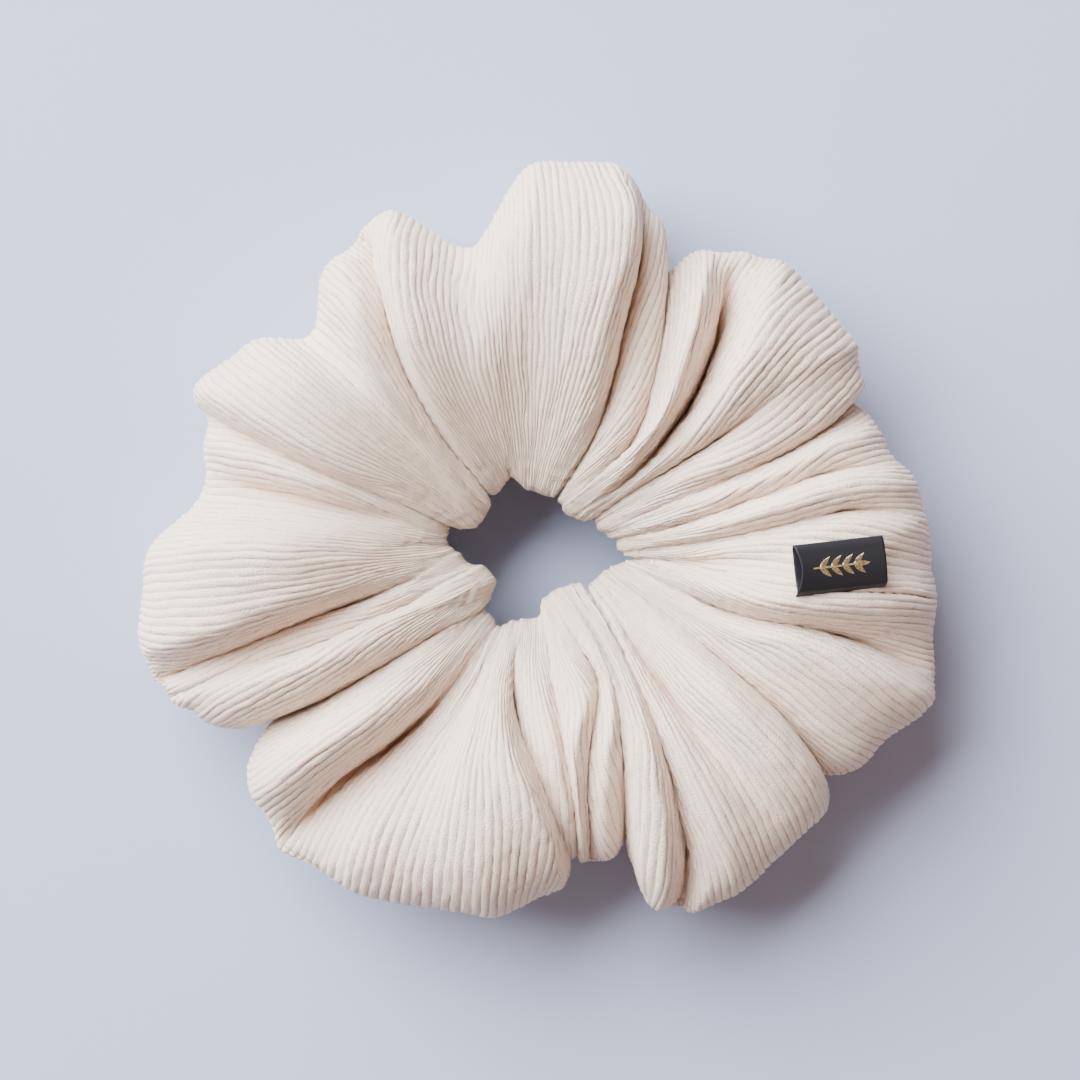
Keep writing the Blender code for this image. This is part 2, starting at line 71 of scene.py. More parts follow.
# ---- The folds ---------------------------------------------------------------
# Each line runs over the top of the ring from the hole to the outer edge. It has its name, its
# points seen from above (x, y), and its heights, evenly spread from the hole to the outer edge, which
# fold_line() and hand_laid_top() then bend to the tube's section. A crest is a fold's rounded top. A
# crease is the bottom between two folds: its last number is how open it is, from 0, cloth pressed
# together, to 1, a wide hollow.
CREST, CREASE = "crest", "crease"
LINES = [
    ("A crest", CREST, [(-2, 10.4), (-2.5, 30), (-1.5, 50), (0, 76.5)], (30, 34, 36), 0),
    ("A edge", CREST, [(2.8, 9), (8, 19), (11.4, 30), (13.4, 42), (17, 54), (18.7, 66), (15, 76)],
     (32, 37, 36), 0),
    ("A fold", CREASE, [(5, 11), (9.6, 18), (14, 30), (16, 42), (19.5, 54), (20.5, 70)], (27, 28, 28), 0.5),
    ("A back", CREST, [(4, 8), (9.5, 13.5), (15.8, 22), (19.5, 34), (22.5, 52), (23.3, 66)],
     (31, 32, 29, 27, 25), 0),
    ("A to B", CREASE, [(4.9, 6.8), (11.5, 12.5), (18, 18.5), (20.6, 28), (21.5, 37), (21.5, 47)],
     (31, 26, 20, 18, 18), 0),
    ("B left", CREST, [(5.8, 5.5), (13.5, 10.8), (20.5, 18.5), (25, 26), (28.5, 36), (32, 48), (34, 58.5)],
     (32, 35, 35, 33), 0),
    ("B hollow", CREASE, [(7.4, 4.8), (15.5, 10.5), (25, 20), (32, 30), (35.5, 40), (37, 50), (43, 57.8)],
     (32, 27, 22, 24, 29), 1),
    ("B panel", CREST, [(9, 4.2), (17, 9.8), (29, 20), (38, 32), (44, 44), (50, 56)], (31, 33, 36, 33), 0),
    ("B nip", CREASE, [(11.2, 4.7), (18, 9.8), (28, 15.8), (35, 20), (45, 28), (56, 36), (64.5, 39.5)],
     (26, 26, 33, 34, 34), 0.3),
    ("B fold", CREST, [(11.8, 3), (22, 9.2), (34, 14.6), (50, 21.5), (65.5, 32.5)], (30, 33, 27), 0),
    ("B to C", CREASE, [(13, 2.1), (23, 6.4), (35, 11.3), (48, 17), (57, 24), (61.5, 28)],
     (30, 22, 22, 22), 0.1),
    ("C back", CREST, [(14, 0.9), (24, 4.6), (36, 9), (48, 13.8), (60, 20), (69, 21)], (31, 33, 31), 0),
    ("C slit", CREASE, [(15.8, 0.7), (28, 3), (38, 6.2), (47, 9.6), (58, 14), (73, 15)],
     (26, 25, 31, 33), 0.3),
    ("C crest", CREST, [(15.8, -1), (25, 0.7), (36, 3.7), (48, 7.2), (58, 10.6), (76, 11)],
     (31, 36, 34), 0),
    ("C nip", CREASE, [(16.6, -1.8), (28, -0.4), (40, 1.7), (50, 4), (60, 6.4), (77.5, 5)],
     (29, 28, 31, 34), 0.4),
    ("C tip", CREST, [(17.2, -2.6), (27, -2.2), (38, -1), (48, 0.4), (57, 2.4), (68, 2.4), (78.5, 1)],
     (29, 34, 34), 0),
    ("D hollow", CREASE, [(19.4, -3.3), (33, -4.6), (45, -4.4), (60, -4), (79, -4)],
     (26, 33, 36, 36, 33), 1),
    ("D crest", CREST, [(17.4, -3.9), (28, -7), (38, -10), (50, -12), (65, -12), (80, -12)],
     (30, 36, 39, 37, 34), 0),
    ("D to E", CREASE, [(16.8, -4.2), (29, -10.2), (42, -15.5), (52, -16.5), (64, -20), (80, -27)],
     (30, 27, 28, 27), 0.6),
    ("E edge", CREST, [(16, -4.5), (28, -12), (40, -18), (50, -19), (60, -22.5), (70, -27.5), (79.5, -32)],
     (31, 36, 33), 0),
    ("E panel", CREST, [(14.4, -5), (27, -14), (40, -23), (50, -31), (60, -39), (68, -42)],
     (31, 31, 27), 0),
    ("E to F", CREASE,
     [(13.6, -5.6), (20.4, -10.8), (30, -19), (37, -25), (43.5, -30.5), (50.5, -39), (55.5, -45.5)],
     (30, 22, 20, 19), 0),
    ("F edge", CREST, [(12.8, -6.2), (21, -14), (31, -24), (38, -32), (45, -40), (52, -47.5), (57, -55)],
     (31, 37, 34), 0),
    ("F nip", CREASE, [(12, -7), (20, -22), (28, -34), (36, -41), (44, -52), (50, -62)],
     (31, 30, 33, 32), 0.8),
    ("F panel", CREST, [(11.2, -7.8), (19.5, -26), (29, -42), (35, -55), (38, -64), (40, -70.5)],
     (31, 35, 31), 0),
    ("F lip", CREST, [(10.4, -8.4), (18.8, -27), (27, -43), (31.5, -56), (34, -66), (31, -74.5)],
     (30, 32, 26), 0),
    ("F to G", CREASE,
     [(10, -10.2), (14.4, -18), (19.6, -27.5), (25, -42), (28, -55), (29.5, -66), (28, -73)],
     (26, 20, 19, 18), 0.7),
    ("G crest", CREST,
     [(8.4, -8.1), (15, -19), (19, -29), (22.5, -42), (24.5, -55), (25, -68), (24, -74.5)],
     (32, 36, 31), 0),
    ("G left", CREST,
     [(6.2, -8.6), (13.4, -20), (17, -31), (19, -44), (19.8, -57), (20.5, -68), (22, -72.5)],
     (32, 35, 29), 0),
    ("G to H", CREASE, [(4.8, -9.1), (12, -21), (15.8, -35), (16.6, -47), (17.4, -59)],
     (32, 35, 33, 24, 20), 0.3),
    ("H outer", CREST, [(3.6, -9.5), (10.8, -20.5), (14.4, -32), (13.2, -44), (12.8, -55), (14, -64)],
     (32, 35, 28), 0),
    ("H pocket", CREASE,
     [(2.4, -10.2), (8.6, -21), (12.4, -28), (9.8, -37), (8.4, -44), (9.8, -55), (10.5, -64)],
     (32, 31, 24, 23, 24), 0.3),
    ("H inner", CREST, [(1.2, -11.1), (5.6, -21), (8.8, -29), (6.9, -40), (7.8, -52), (8.6, -64.5)],
     (31, 35, 28), 0),
    ("H to I", CREASE, [(0.6, -14.2), (2.2, -22), (3.4, -31), (6.1, -42), (8, -56), (8.1, -62.5)],
     (24, 22, 20), 0),
    ("I roll", CREST, [(-2.4, -15.4), (-0.4, -24), (2, -34), (4, -44), (6, -53), (7, -63.5)],
     (30, 33, 28), 0),
    ("I groove", CREASE,
     [(-3.7, -15.6), (-4.8, -24), (-4.8, -32), (-2.5, -41), (1.5, -50), (5, -57), (6.2, -65)],
     (30, 28, 26, 24), 0.2),
    ("I right", CREST, [(-5, -15.6), (-7.6, -28), (-6.5, -40), (-1, -49.5), (3, -59), (4, -70)],
     (31, 37, 32), 0),
    ("I panel", CREST, [(-6.6, -16.4), (-11, -30), (-14, -44), (-13, -58), (-10, -75.5)], (30, 36, 34), 0),
    ("I flank", CREST, [(-7.4, -17), (-14.5, -32), (-24, -46), (-32, -58), (-37, -70.5)], (28, 30, 29), 0),
    ("I hollow", CREASE,
     [(-8.4, -16.6), (-14, -24), (-20, -32), (-29, -40), (-40, -48), (-48, -57), (-52, -62)],
     (29, 22, 20, 20), 0.6),
    ("I upper", CREST, [(-9.6, -14.6), (-17, -23), (-29, -32), (-42, -40), (-50, -46), (-57, -52)],
     (31, 36, 31), 0),
    ("I to J", CREASE, [(-11, -13.2), (-18.4, -17), (-28, -22.4), (-38, -28.5), (-46, -32), (-51, -34)],
     (26, 20, 18), 0),
    ("J lower", CREST, [(-9.4, -11.4), (-18, -13.4), (-32, -18.4), (-48, -25), (-62, -30), (-69, -34)],
     (31, 35, 29), 0),
    ("J roll", CREST, [(-8.4, -7.6), (-16, -10.4), (-30, -15.6), (-46, -22), (-60, -27), (-74, -32)],
     (32, 34, 26), 0),
    ("J tuck", CREASE, [(-11.4, -4.6), (-19, -8.6), (-28, -13.8), (-36, -18), (-48, -22.4), (-74, -31)],
     (27, 28, 32, 29, 26), 0.1),
    ("J inner", CREST, [(-15.4, -2.4), (-22, -6.6), (-31, -12.4), (-42, -17.6), (-56, -22.6), (-75, -29.6)],
     (30, 31, 28, 25, 25), 0),
    ("J hollow", CREASE, [(-16.2, -2), (-24, -6.8), (-38, -12.4), (-52, -17), (-64, -23), (-77, -28)],
     (29, 24, 22, 22), 0.5),
    ("J edge", CREST, [(-16.8, -1.6), (-25, -5.4), (-38, -8.6), (-52, -12.4), (-64, -17.6), (-80, -21)],
     (30, 37, 33), 0),
    ("J crest", CREST, [(-18, -0.6), (-30, -1.6), (-45, -2), (-60, -1.5), (-79, -4)], (30, 38, 34), 0),
    ("J to K", CREASE, [(-18.4, 0.7), (-30, 4.6), (-42, 7.4), (-55, 9.8), (-67, 11.5)], (30, 31, 27), 1),
    ("K crest", CREST, [(-18, 1.6), (-30, 6.8), (-42, 11), (-55, 16), (-67, 20)], (29, 32, 26), 0),
    ("K to L", CREASE, [(-17.8, 3.2), (-29, 8.8), (-40, 13), (-50, 18), (-60, 23.5), (-68, 27)],
     (25, 20, 22), 0.1),
    ("L lower", CREST, [(-15.6, 2.4), (-26, 8.8), (-38, 15), (-50, 22), (-60, 27.5), (-69, 31)],
     (31, 35, 32), 0),
    ("L panel", CREST, [(-12.2, 3), (-24, 14), (-38, 24.5), (-48, 32), (-58.5, 39.5)], (29, 34, 36), 0),
    ("L to M", CREASE, [(-10.9, 4.6), (-21, 16.6), (-32, 28), (-40, 36), (-45.5, 41.5)],
     (32, 33, 35, 33), 1),
    ("M crest", CREST, [(-9.8, 6.6), (-19.6, 18.4), (-30, 33), (-36, 46), (-42, 56)], (29, 33, 36), 0),
    ("M to N", CREASE, [(-10.6, 10.2), (-18.8, 21), (-25, 32), (-28.5, 45), (-31, 55), (-36, 61)],
     (26, 22, 24), 0.2),
    ("N crest", CREST, [(-8.4, 9.6), (-16, 20), (-22, 30), (-26, 41), (-29, 52), (-30.5, 66.5)],
     (31, 38, 36), 0),
    ("N to A", CREASE, [(-5.4, 13), (-10, 24), (-13, 38), (-14, 50), (-13.5, 59)], (31, 36, 33), 1),
]

# ---- The cloth ---------------------------------------------------------------
STRIP_LENGTH = 688.0            # of velvet, between the closing seam's two stitch lines
TUBE_GIRTH = 160.0              # between the lengthwise seam's two stitch lines
LENGTHWISE_ALLOWANCE = 5.0      # turned in beyond each of those lines
CLOSING_ALLOWANCE = 3.0
RIBS = 430
TOP_ROWS = 50                   # laid rows from the hole to the outer edge
TOP_HEIGHT = 39.8
MIDDLE_HEIGHT = 19.0            # of the plane that mirrors the top into the underside
INNER_HEIGHT = 26.5             # of the lowest crease over the elastic
INNER_SHARE = 0.25              # how far from the hole that holds, as a share of a line
INNER_FALL = 30.0               # how steeply it falls from there, for a whole line
LEAST_RISE = 1.2                # of the deepest crease over the middle height
OUTWARD_RISE = 12.0             # how much the tube rises from the hole outwards, beyond LINES,
RISE_SHARE = 0.4                # and the share of a line where it neither rises nor sinks
CREASE_DEEPER = 0.55            # how much deeper the creases are than LINES, as a share
SECTION_POWER = 2.4             # roundness of the tube's section: 2 is an ellipse
HEIGHTS_SPREAD = (0.1, 0.9)     # shares of a line at its first and last heights
LINE_SAMPLES = 241              # along a line, before its even spacing
HEIGHTS_BLUR = 20               # samples to each side that a height is smoothed over
LINE_STEPS = 14                 # laid points from one line to the next
LAID_BLUR = 2                   # times that the laid grid is smoothed
LEAST_STEP = 0.05               # the shortest distance that rib_places() divides by
GROUND_GAP = 0.4                # how far above the ground the cloth lies

# ---- The label, from its CAD hinge -------------------------------------------
LABEL_WIDTH = 18.0
LABEL_HEIGHT = 9.4
RIBBON_THICKNESS = 0.2
flip = next(joint for joint in frame["record"]["behaviour"]["joints"] if joint["name"] == "label_flip")
LABEL_MIDDLE = np.array(flip["pos_m"]) / MM
LABEL_ALONG = np.array(flip["axis"])
LABEL_UP = np.array([-LABEL_ALONG[1], LABEL_ALONG[0], 0]) / np.hypot(LABEL_ALONG[0], LABEL_ALONG[1])
LABEL_OUT = np.cross(LABEL_ALONG, LABEL_UP)


def unit(vectors):
    """The vectors, each at a length of one."""
    return vectors / np.linalg.norm(vectors, axis=-1, keepdims=True).clip(1e-9)


def smooth_curve(points, at):
    """Points at shares `at` (0 to 1) of a smooth curve through the given points."""
    points = np.array(points, float)
    steps = np.linalg.norm(np.diff(points, axis=0), axis=1)
    knots = np.concatenate([[0], np.cumsum(steps)])
    knots /= knots[-1]
    slopes = np.gradient(points, knots, axis=0)
    i = np.clip(np.searchsorted(knots, at, "right") - 1, 0, len(knots) - 2)
    span = (knots[i + 1] - knots[i])[:, None]
    s = ((at - knots[i])[:, None]) / span
    return (
        (1 + 2 * s) * (1 - s) ** 2 * points[i] + s * (1 - s) ** 2 * span * slopes[i]
        + s * s * (3 - 2 * s) * points[i + 1] + s * s * (s - 1) * span * slopes[i + 1]
    )


def fold_line(plan, heights, rows):
    """A line over the top of the ring, from the hole's middle height to the outer edge's: rows + 1
    points, evenly spaced along it."""
    share = (1 - np.cos(np.linspace(0, pi, LINE_SAMPLES))) / 2
    flat = smooth_curve(plan, share)
    crown = np.interp(share, np.linspace(*HEIGHTS_SPREAD, len(heights)), heights)
    window = np.hanning(2 * HEIGHTS_BLUR + 1)
    crown = np.convolve(np.pad(crown, HEIGHTS_BLUR, "edge"), window / window.sum(), "valid")
    lowest = (INNER_HEIGHT - INNER_FALL * (share - INNER_SHARE).clip(0)).clip(MIDDLE_HEIGHT + LEAST_RISE)
    crown = (crown + OUTWARD_RISE * (share - RISE_SHARE)).clip(lowest, TOP_HEIGHT)
    cap = np.sqrt(1 - np.abs(2 * share - 1) ** SECTION_POWER)
    line = np.column_stack([flat, MIDDLE_HEIGHT + (crown - MIDDLE_HEIGHT) * cap])
    length = np.concatenate([[0], np.cumsum(np.linalg.norm(np.diff(line, axis=0), axis=1))])
    at = np.linspace(0, length[-1], rows + 1)
    return np.column_stack([np.interp(at, length, line[:, k]) for k in range(3)])


def between(first, second, first_kind, second_kind, opening):
    """Cloth points from one line to the next, row by row, leaving out the next line itself."""
    t = np.linspace(0, 1, LINE_STEPS, endpoint=False)
    if first_kind == second_kind:
        share_along, share_inward = t, t * t * (3 - 2 * t)
    else:
        from_crest = t if first_kind == CREST else 1 - t
        share_along = opening * from_crest + (1 - opening) * np.sin(pi * from_crest / 2)
        share_inward = (
            opening * (1 - np.cos(pi * from_crest)) / 2 + (1 - opening) * (1 - np.cos(pi * from_crest / 2))
        )
        if first_kind == CREASE:
            share_along, share_inward = 1 - share_along, 1 - share_inward
    gap = second - first
    middle = (first + second) / 2
    around = unit(np.column_stack([-middle[:, 1], middle[:, 0], np.zeros(len(middle))]))
    along = (gap * around).sum(1)[:, None] * around
    inward = gap - along
    return (
        first[:, None]
        + along[:, None] * share_along[None, :, None] + inward[:, None] * share_inward[None, :, None]
    )


def hand_laid_top():
    """(TOP_ROWS + 1, columns, 3): the top of the ring as it passes through LINES."""
    lines = []
    for _, kind, plan, heights, _ in LINES:
        heights = np.array(heights, float)
        if kind == CREASE:
            further_out = np.linspace(0, 2, len(heights)).clip(0, 1)
            heights -= CREASE_DEEPER * (TOP_HEIGHT - heights) * further_out
        lines.append(fold_line(plan, heights, TOP_ROWS))
    pieces = []
    for k, (_, kind, _, _, opening) in enumerate(LINES):
        n = (k + 1) % len(LINES)
        pieces.append(between(lines[k], lines[n], kind, LINES[n][1], max(opening, LINES[n][4])))
    return smoothed(np.concatenate(pieces, axis=1), LAID_BLUR)


def smoothed(grid, times, share=0.5):
    """The grid, closed along its columns, with each point drawn towards its neighbours."""
    for _ in range(times):
        grid = grid + share * ((np.roll(grid, 1, 1) + np.roll(grid, -1, 1)) / 2 - grid)
        grid[1:-1] += share * ((grid[:-2] + grid[2:]) / 2 - grid[1:-1])
    return grid


def rib_places(grid):
    """How far round the strip each point of the cloth is, in mm: as near as the folds allow, one
    millimetre of strip for each millimetre of surface, with the ribs running from hole to edge.
    The places are the least-squares answer, found by conjugate gradients."""
    across = np.linalg.norm(np.roll(grid, -1, 1) - grid, axis=2)
    down = np.linalg.norm(np.diff(grid, axis=0), axis=2)
    wanted = across * (STRIP_LENGTH / across.sum(1))[:, None]
    place = np.tile(np.cumsum(wanted.mean(0)) - wanted.mean(0)[0], (len(grid), 1))
    weight_across = down.mean() / across.clip(LEAST_STEP)
    weight_down = (across[:-1] + across[1:]) / 2 / down.clip(LEAST_STEP)

    def pulls(place, rest, once_round):
        step = np.roll(place, -1, 1) - place - rest
        step[:, -1] += once_round
        pull = weight_across * step
        out = pull - np.roll(pull, 1, 1)
        fall = weight_down * np.diff(place, axis=0)
        out[:-1] += fall
        out[1:] -= fall
        return out

    rest = pulls(place, wanted, STRIP_LENGTH)
    step, size = rest.copy(), (rest * rest).sum()
    for _ in range(400):
        change = -pulls(step, 0, 0)
        share = size / (step * change).sum()
        place = place + share * step
        rest = rest - share * change
        size, before = (rest * rest).sum(), size
        if size < 1e-6:
            break
        step = rest + (size / before) * step
    return place


def laid_cloth(rows, columns):
    """The laid tube, closed both ways: row 0 at the hole, the middle row at the outer edge, and
    column 0 along the closing seam, which passes under the middle of the label's sewn edge."""
    top = hand_laid_top()
    place = rib_places(top)
    nearest = np.linalg.norm(top[..., :2] - LABEL_MIDDLE[:2], axis=2).argmin()
    wanted = (place.flat[nearest] + np.arange(columns) * STRIP_LENGTH / columns) % STRIP_LENGTH
    even = np.empty((len(top), columns, 3))
    for row in range(len(top)):
        once = place[row]
        at = np.maximum.accumulate(np.concatenate([once - STRIP_LENGTH, once, once + STRIP_LENGTH]))
        for k in range(3):
            even[row, :, k] = np.interp(wanted, at, np.tile(top[row, :, k], 3))
    under = even[1:-1][::-1].copy()
    under[..., 2] = 2 * MIDDLE_HEIGHT - under[..., 2]
    tube = closed_curve(np.concatenate([even, under]), np.arange(rows) * 2 * TOP_ROWS / rows, 0)
    tube[..., 2] = tube[..., 2].clip(GROUND_GAP)
    return tube


def closed_curve(grid, at, axis):
    """The grid's rows or columns, a closed run of them, at the places `at`: a smooth curve."""
    count = grid.shape[axis]
    i = np.floor(at).astype(int)
    shape = [1, 1, 1]
    shape[axis] = len(at)
    t = (at - i).reshape(shape)
    a, b, c, d = (np.take(grid, (i + k) % count, axis=axis) for k in (-1, 0, 1, 2))
    return b + 0.5 * t * (c - a + t * (2 * a - 5 * b + 4 * c - d + t * (3 * (b - c) + d - a)))


def quads(rows, columns):
    """The faces of an open grid of points, as rows of four indices."""
    index = np.arange(rows * columns).reshape(rows, columns)
    return np.stack([index[:-1, :-1], index[1:, :-1], index[1:, 1:], index[:-1, 1:]], -1).reshape(-1, 4)


# ---- The simulation ----------------------------------------------------------
SIM_ROWS, SIM_COLUMNS = 100, 720
SIM_FRAMES = 10
SIM_UNITS = 0.1                 # Blender units for a millimetre: cloth settles best near unit size
HELD = 1.0                      # how firmly the laid shape holds the cloth: at the hole,
HELD_NEAR = 0.3                 # in the HELD_ROWS beside it,
HELD_LOOSELY = 0.25             # and everywhere else
HELD_ROWS = 4
PUFF = 0.45                     # pressure inside the tube
SLAB_REACH = (-1.0, 7.0)        # of the slab that stands for the label, out from its plane
SKIN = 0.02                     # of the ground and that slab, in Blender units


def collider(name, points, faces):
    mesh = bpy.data.meshes.new(name)
    mesh.from_pydata((np.array(points) * SIM_UNITS).tolist(), [], faces)
    obj = bpy.data.objects.new(name, mesh)
    bpy.context.scene.collection.objects.link(obj)
    obj.modifiers.new("Collision", "COLLISION")
    obj.collision.thickness_outer = SKIN
    return obj


def ground_collider():
    corners = [(-300, -300, 0), (300, -300, 0), (300, 300, 0), (-300, 300, 0)]
    return collider("settling_ground", corners, [(0, 1, 2, 3)])


def label_collider():
    """A slab where the label lies, from its underside up, so that the velvet stays beneath it."""
    half = LABEL_WIDTH / 2
    corners = [
        LABEL_MIDDLE + along * LABEL_ALONG + up * LABEL_UP + out * LABEL_OUT
        for out in SLAB_REACH
        for along, up in ((-half, 0), (half, 0), (half, LABEL_HEIGHT), (-half, LABEL_HEIGHT))
    ]
    sides = [(0, 3, 2, 1), (4, 5, 6, 7), (0, 1, 5, 4), (1, 2, 6, 5), (2, 3, 7, 6), (3, 0, 4, 7)]
    return collider("settling_label", corners, sides)


def settled(tube):
    """The tube after its cloth has puffed and come to rest: an open strip, with sewing along both
    seams, that keeps the lengths of the laid shape and is held softly to it."""
    half = SIM_ROWS // 2
    strip = np.roll(tube, -half, axis=0)
    strip = np.concatenate([strip, strip[:1]], axis=0)
    strip = np.concatenate([strip, strip[:, :1]], axis=1)
    rows, columns = strip.shape[:2]
    index = np.arange(rows * columns).reshape(rows, columns)
    sewing = [(int(index[0, c]), int(index[-1, c])) for c in range(columns)]
    sewing += [(int(index[r, 0]), int(index[r, -1])) for r in range(1, rows - 1)]
    mesh = bpy.data.meshes.new("settling_strip")
    points = strip.reshape(-1, 3) * SIM_UNITS
    mesh.from_pydata(points.tolist(), sewing, quads(rows, columns)[:, ::-1].tolist())
    cloth = bpy.data.objects.new("settling_strip", mesh)
    bpy.context.scene.collection.objects.link(cloth)

    from_hole = np.abs(np.arange(rows) - half)
    holding = cloth.vertex_groups.new(name="held")
    bands = (0, 1, HELD), (2, 1 + HELD_ROWS, HELD_NEAR), (2 + HELD_ROWS, rows, HELD_LOOSELY)
    for least, most, weight in bands:
        chosen = index[(from_hole >= least) & (from_hole <= most)]
        holding.add([int(i) for i in chosen.ravel()], weight, "REPLACE")

    modifier = cloth.modifiers.new("Cloth", "CLOTH")
    velvet = modifier.settings
    velvet.quality = 6
    velvet.mass = 0.1
    velvet.air_damping = 3
    velvet.bending_model = "ANGULAR"
    velvet.tension_stiffness = 15
    velvet.compression_stiffness = 4
    velvet.shear_stiffness = 2
    velvet.bending_stiffness = 1.5
    velvet.tension_damping = velvet.compression_damping = velvet.shear_damping = 10
    velvet.bending_damping = 1
    velvet.use_sewing_springs = True
    velvet.sewing_force_max = 5
    velvet.vertex_group_mass = "held"
    velvet.pin_stiffness = 1
    velvet.use_pressure = True
    velvet.uniform_pressure_force = PUFF
    velvet.effector_weights.gravity = 0
    touch = modifier.collision_settings
    touch.distance_min = 0.03
    touch.collision_quality = 2
    modifier.point_cache.frame_end = SIM_FRAMES
    helpers = [cloth, ground_collider(), label_collider()]
    for number in range(1, SIM_FRAMES + 1):
        bpy.context.scene.frame_set(number)
    found = np.empty(rows * columns * 3, np.float32)
    cloth.evaluated_get(bpy.context.evaluated_depsgraph_get()).data.vertices.foreach_get("co", found)
    for helper in helpers:
        bpy.data.objects.remove(helper)
    bpy.context.scene.frame_set(1)
    strip = found.reshape(rows, columns, 3) / SIM_UNITS
    strip[0] = (strip[0] + strip[-1]) / 2
    strip[:, 0] = (strip[:, 0] + strip[:, -1]) / 2
    tube = np.roll(strip[:-1, :-1], half, axis=0).astype(float)
    tube[..., 2] = tube[..., 2].clip(GROUND_GAP)
    return tube


# ---- The ribs and the seams --------------------------------------------------
RIB_PITCH = STRIP_LENGTH / RIBS
RIB_PROFILE = [(0, -0.24), (0.15, 0.0), (0.5, 0.07), (0.85, 0.0)]    # share of a rib, and its height
RIB_UNEVEN = 0.25               # how much that height varies, as a share
GROOVE_WANDER = 0.16            # how far the grooves wander sideways
PILE_GRAIN = 0.045              # roughness of the pile
FINE_ROWS = 100
SEAM_ROW = 49                   # the lengthwise seam, just above the outer equator
SEAM_SINK = [(0, -0.9), (0.15, -0.42), (0.45, -0.05)]   # rows away from the seam, and how deep
CLOSING_SINK = (0.7, 0.25)      # how deep the first and second columns beside the closing seam lie
PUCKER = 0.18                   # of the cloth between the lengthwise seam's stitches
ALLOWANCE_STEPS = (0.25, 0.6, 1.0)      # shares of a seam allowance, from the stitch line to its edge
ALLOWANCE_LEAN = 0.2            # how much an allowance leans back under its own cloth
HOLLOW_BLUR = 30                # times that the cloth is smoothed to tell a hollow from a crest
SEED = 11


def wandering(rows, columns, rng, along_rows=6, along_columns=1):
    """Smooth noise of about unit size over a closed grid."""
    noise = rng.standard_normal((rows, columns))
    for axis, times in ((0, along_rows), (1, along_columns)):
        for _ in range(times):
            noise = (np.roll(noise, 1, axis) + 2 * noise + np.roll(noise, -1, axis)) / 4
    return noise / noise.std()


def ribbed_strip(tube):
    """The velvet as an open strip, from stitch line to stitch line: its points, its outward normals,
    and each point's place on the flat strip (ribs along, millimetres across)."""
    rng = np.random.default_rng(SEED)
    near_seam = [away for away, _ in SEAM_SINK]
    rows = near_seam + list(range(1, FINE_ROWS)) + [FINE_ROWS - away for away in reversed(near_seam)]
    rows = SEAM_ROW + np.array(rows, float)
    ribs = (np.arange(RIBS)[:, None] + np.array([share for share, _ in RIB_PROFILE])).ravel()
    ribs = np.append(ribs, RIBS)
    fine = closed_curve(tube, rows * len(tube) / FINE_ROWS, 0)
    fine = closed_curve(fine, ribs * tube.shape[1] / RIBS, 1)

    across = np.gradient(fine, axis=1)
    normal = unit(np.cross(across, np.gradient(fine, axis=0)))

    wander = wandering(len(rows), RIBS + 1, rng)
    wander[:, -1] = wander[:, 0]
    groove = np.round(ribs).astype(int)
    fine += unit(across) * (GROOVE_WANDER * wander[:, groove])[..., None]
    height = np.tile([lift for _, lift in RIB_PROFILE], RIBS)
    uneven = 1 + RIB_UNEVEN * wandering(len(rows), len(ribs), rng, 4, 4)
    height = np.append(height, height[0])[None] * uneven
    height += PILE_GRAIN * rng.standard_normal(height.shape)
    for away, sink in SEAM_SINK:
        pucker = PUCKER * np.sin(2 * pi * ribs) * (away > 0)
        for row in (SEAM_ROW + away, SEAM_ROW + FINE_ROWS - away):
            height[np.isclose(rows, row)] += sink + pucker
    for column, sink in enumerate(CLOSING_SINK):
        height[:, [column, -1 - column]] -= sink
    fine += normal * height[..., None]
    along = (rows - rows[0]) * TUBE_GIRTH / FINE_ROWS
    flat = np.stack(np.broadcast_arrays(ribs[None], along[:, None]), -1)
    return fine, normal, flat


def turned_in(points, normals, flat, axis, allowance, pitch):
    """The strip with an allowance beyond both of its edges along an axis, turned into the tube: towards
    the middle of its section at the lengthwise seam, and square to the cloth at the closing seam."""
    def take(grid, k):
        return np.take(grid, [k], axis=axis)

    runs = []
    centre = points.mean(axis=0, keepdims=True)
    for edge, inner, sign in ((0, 1, -1), (-1, -2, 1)):
        back = unit(take(points, inner) - take(points, edge))
        inside = unit(centre - take(points, edge) if axis == 0 else -take(normals, edge))
        move = back * ALLOWANCE_LEAN + inside
        steps = []
        for depth in ALLOWANCE_STEPS:
            shift = np.zeros(2)
            shift[1 - axis] = sign * depth * allowance / pitch
            steps.append((
                take(points, edge) + move * depth * allowance,
                take(normals, edge),
                take(flat, edge) + shift,
            ))
        runs.append(steps[::-1] if edge == 0 else steps)
    before, after = runs
    grids = (points, normals, flat)
    return tuple(
        np.concatenate([step[k] for step in before] + [grids[k]] + [step[k] for step in after], axis=axis)
        for k in range(3)
    )


def hollowness(points):
    """How deep each point lies below the smoothed cloth round it, in millimetres, which sets the painted
    shade in the creases.
    """
    calm = points.copy()
    for _ in range(HOLLOW_BLUR):
        calm[:, 2:-2] = (calm[:, :-4] + calm[:, 2:-2] * 2 + calm[:, 4:]) / 4
        calm[1:-1] = (calm[:-2] + calm[1:-1] * 2 + calm[2:]) / 4
    return calm - points


def add_grid(name, points, flat=None):
    """A mesh object of one open grid of points in millimetres, with its flat places as its UVs."""
    faces = quads(*points.shape[:2])
    return add_faces(name, points.reshape(-1, 3), faces, None if flat is None else flat.reshape(-1, 2))


